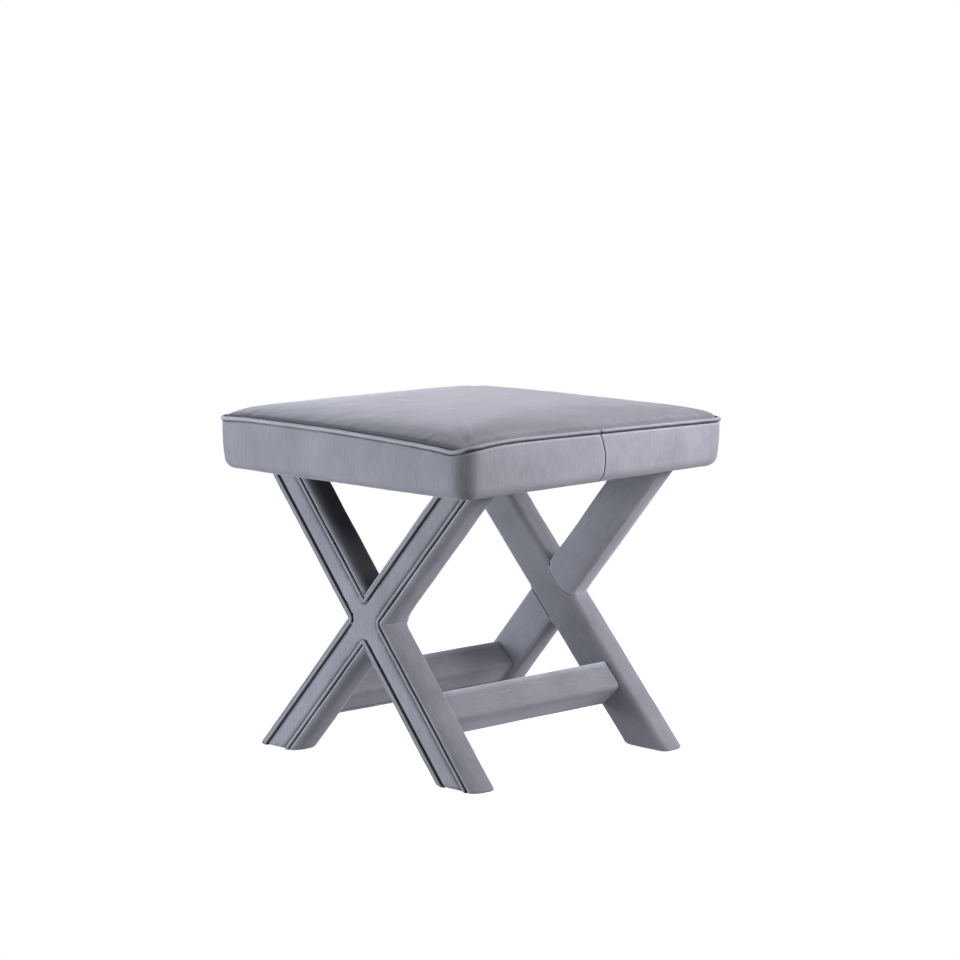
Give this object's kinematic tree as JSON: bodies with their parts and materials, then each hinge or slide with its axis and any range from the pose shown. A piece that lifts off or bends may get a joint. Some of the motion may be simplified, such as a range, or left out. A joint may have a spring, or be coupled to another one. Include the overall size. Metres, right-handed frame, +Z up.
{
  "type": "upholstered bench",
  "caption": "Square velvet bench with a crowned, piped seat on two crossed-leg frames, fully upholstered and joined by stretchers.",
  "frame": {"origin": "centre of the footprint, on the floor", "axes": "+Z up, X along the stretchers from the left to the right crossed-leg frame, Y along the width of a frame, -Y towards the side with the boxing seam in the picture"},
  "size_m": [0.491, 0.491, 0.4731],
  "materials": {
    "velvet": "short-pile grey-blue velvet",
    "beech": "planed, unfinished",
    "plywood": "raw plywood",
    "foam": "open-cell polyurethane foam",
    "cambric": "non-woven black cloth",
    "steel": "zinc plated",
    "felt": "pressed felt"
  },
  "bodies": {
    "root": {"boxing_band_left": "velvet", "boxing_band_right": "velvet", "corner_post_back_left": "beech", "corner_post_back_right": "beech", "corner_post_front_left": "beech", "corner_post_front_right": "beech", "cross_rail_left": "beech", "cross_rail_right": "beech", "dust_cover": "cambric", "face_panel_left": "velvet", "face_panel_right": "velvet", "face_welt_back_left": "velvet", "face_welt_back_right": "velvet", "face_welt_bottom_left": "velvet", "face_welt_bottom_right": "velvet", "face_welt_front_left": "velvet", "face_welt_front_right": "velvet", "face_welt_top_left": "velvet", "face_welt_top_right": "velvet", "foot_pad_back_left": "felt", "foot_pad_back_right": "felt", "foot_pad_front_left": "felt", "foot_pad_front_right": "felt", "lap_screw_left": "steel", "lap_screw_right": "steel", "leg_a_core_left": "beech", "leg_a_core_right": "beech", "leg_a_wrap_left": "velvet", "leg_a_wrap_right": "velvet", "leg_b_core_left": "beech", "leg_b_core_right": "beech", "leg_b_wrap_lower_left": "velvet", "leg_b_wrap_lower_right": "velvet", "leg_b_wrap_upper_left": "velvet", "leg_b_wrap_upper_right": "velvet", "leg_screw_back_left": "steel", "leg_screw_back_right": "steel", "leg_screw_front_left": "steel", "leg_screw_front_right": "steel", "seat_deck": "plywood", "seat_foam": "foam", "seat_rail_back": "beech", "seat_rail_front": "beech", "seat_rail_left": "beech", "seat_rail_right": "beech", "seat_top_panel": "velvet", "seat_welt": "velvet", "stretcher_core_back": "beech", "stretcher_core_front": "beech", "stretcher_screw_back_left": "steel", "stretcher_screw_back_right": "steel", "stretcher_screw_front_left": "steel", "stretcher_screw_front_right": "steel", "stretcher_sleeve_back": "velvet", "stretcher_sleeve_front": "velvet"}
  },
  "joints": []
}
